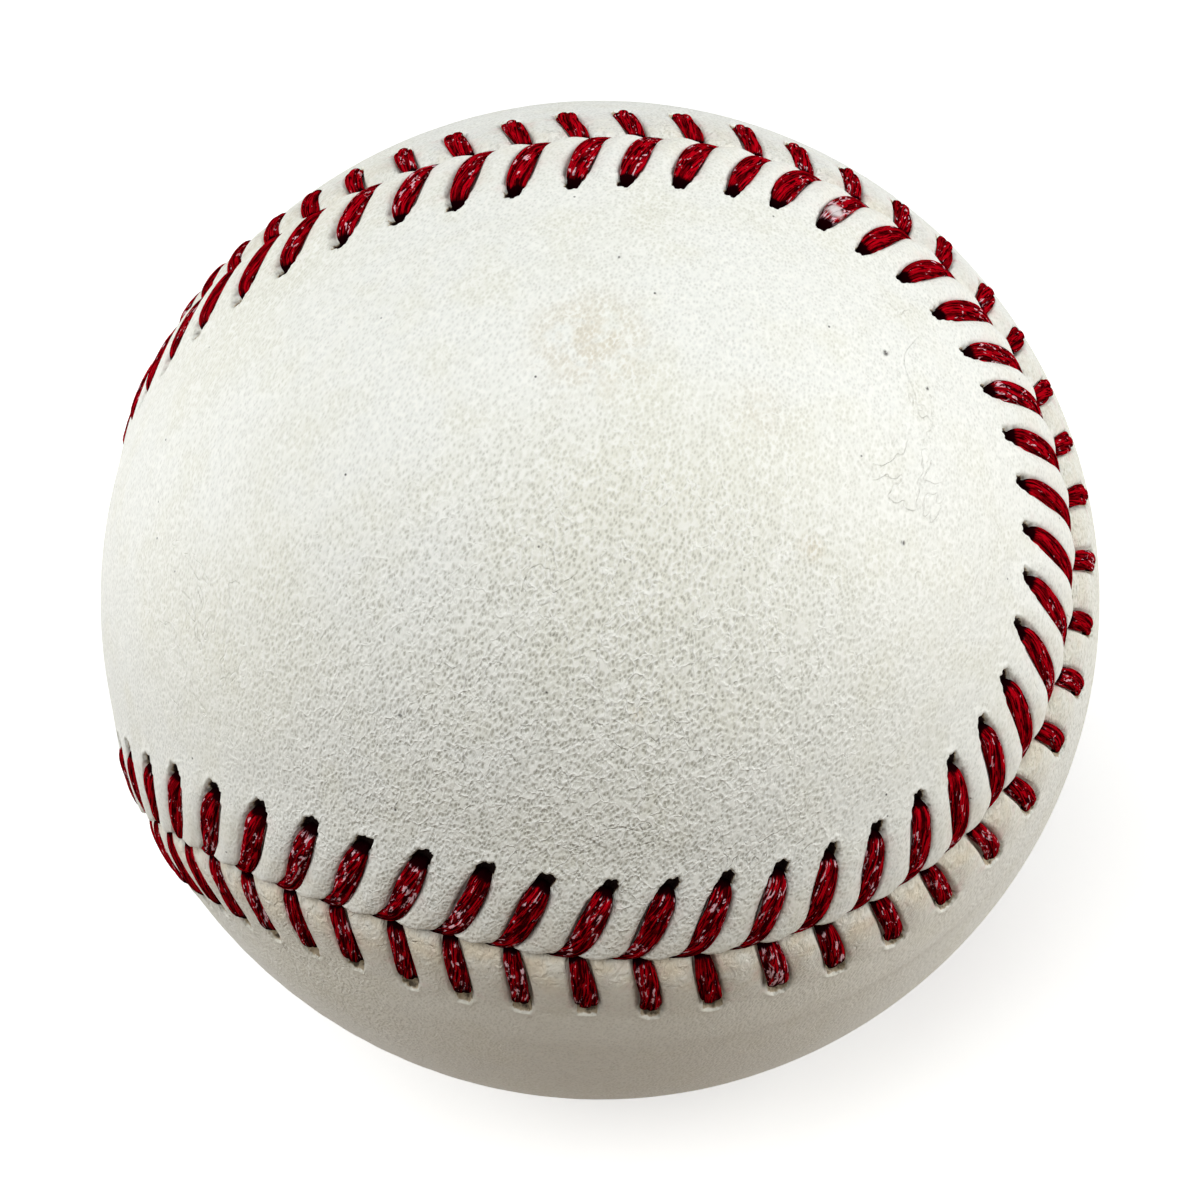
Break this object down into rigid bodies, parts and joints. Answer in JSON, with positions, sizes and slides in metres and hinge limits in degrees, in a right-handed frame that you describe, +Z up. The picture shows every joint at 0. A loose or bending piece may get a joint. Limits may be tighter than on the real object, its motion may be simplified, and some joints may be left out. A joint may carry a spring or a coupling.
{
  "type": "baseball",
  "caption": "Hand-sewn ball with a cork and rubber centre, yarn windings and a two-panel leather cover joined by raised chevron stitching.",
  "frame": {"origin": "centre of the ball", "axes": "X through the narrow necks of both leather panels; Y and Z through the seam; +Z up; the front panel's neck is at -X and its lobes lie between -Y and +Z and between +Y and -Z"},
  "size_m": [0.074, 0.0756, 0.0756],
  "materials": {
    "cork_rubber": "matte",
    "black_rubber": "matte",
    "red_gasket_rubber": "matte",
    "red_rubber": "matte",
    "grey_wool": "matte",
    "white_wool": "matte",
    "fine_grey_wool": "matte",
    "cotton_yarn": "matte",
    "white_leather": "satin",
    "waxed_thread": "satin"
  },
  "bodies": {
    "root": {"cork_core": "cork_rubber", "rubber_half_upper": "black_rubber", "rubber_half_lower": "black_rubber", "gasket_ring": "red_gasket_rubber", "red_rubber_shell": "red_rubber", "grey_wool_inner_winding": "grey_wool", "white_wool_winding": "white_wool", "grey_wool_outer_winding": "fine_grey_wool", "cotton_finish_winding": "cotton_yarn", "leather_panel_front": "white_leather", "leather_panel_back": "white_leather", "thread_first_needle": "waxed_thread", "thread_second_needle": "waxed_thread"}
  },
  "joints": []
}
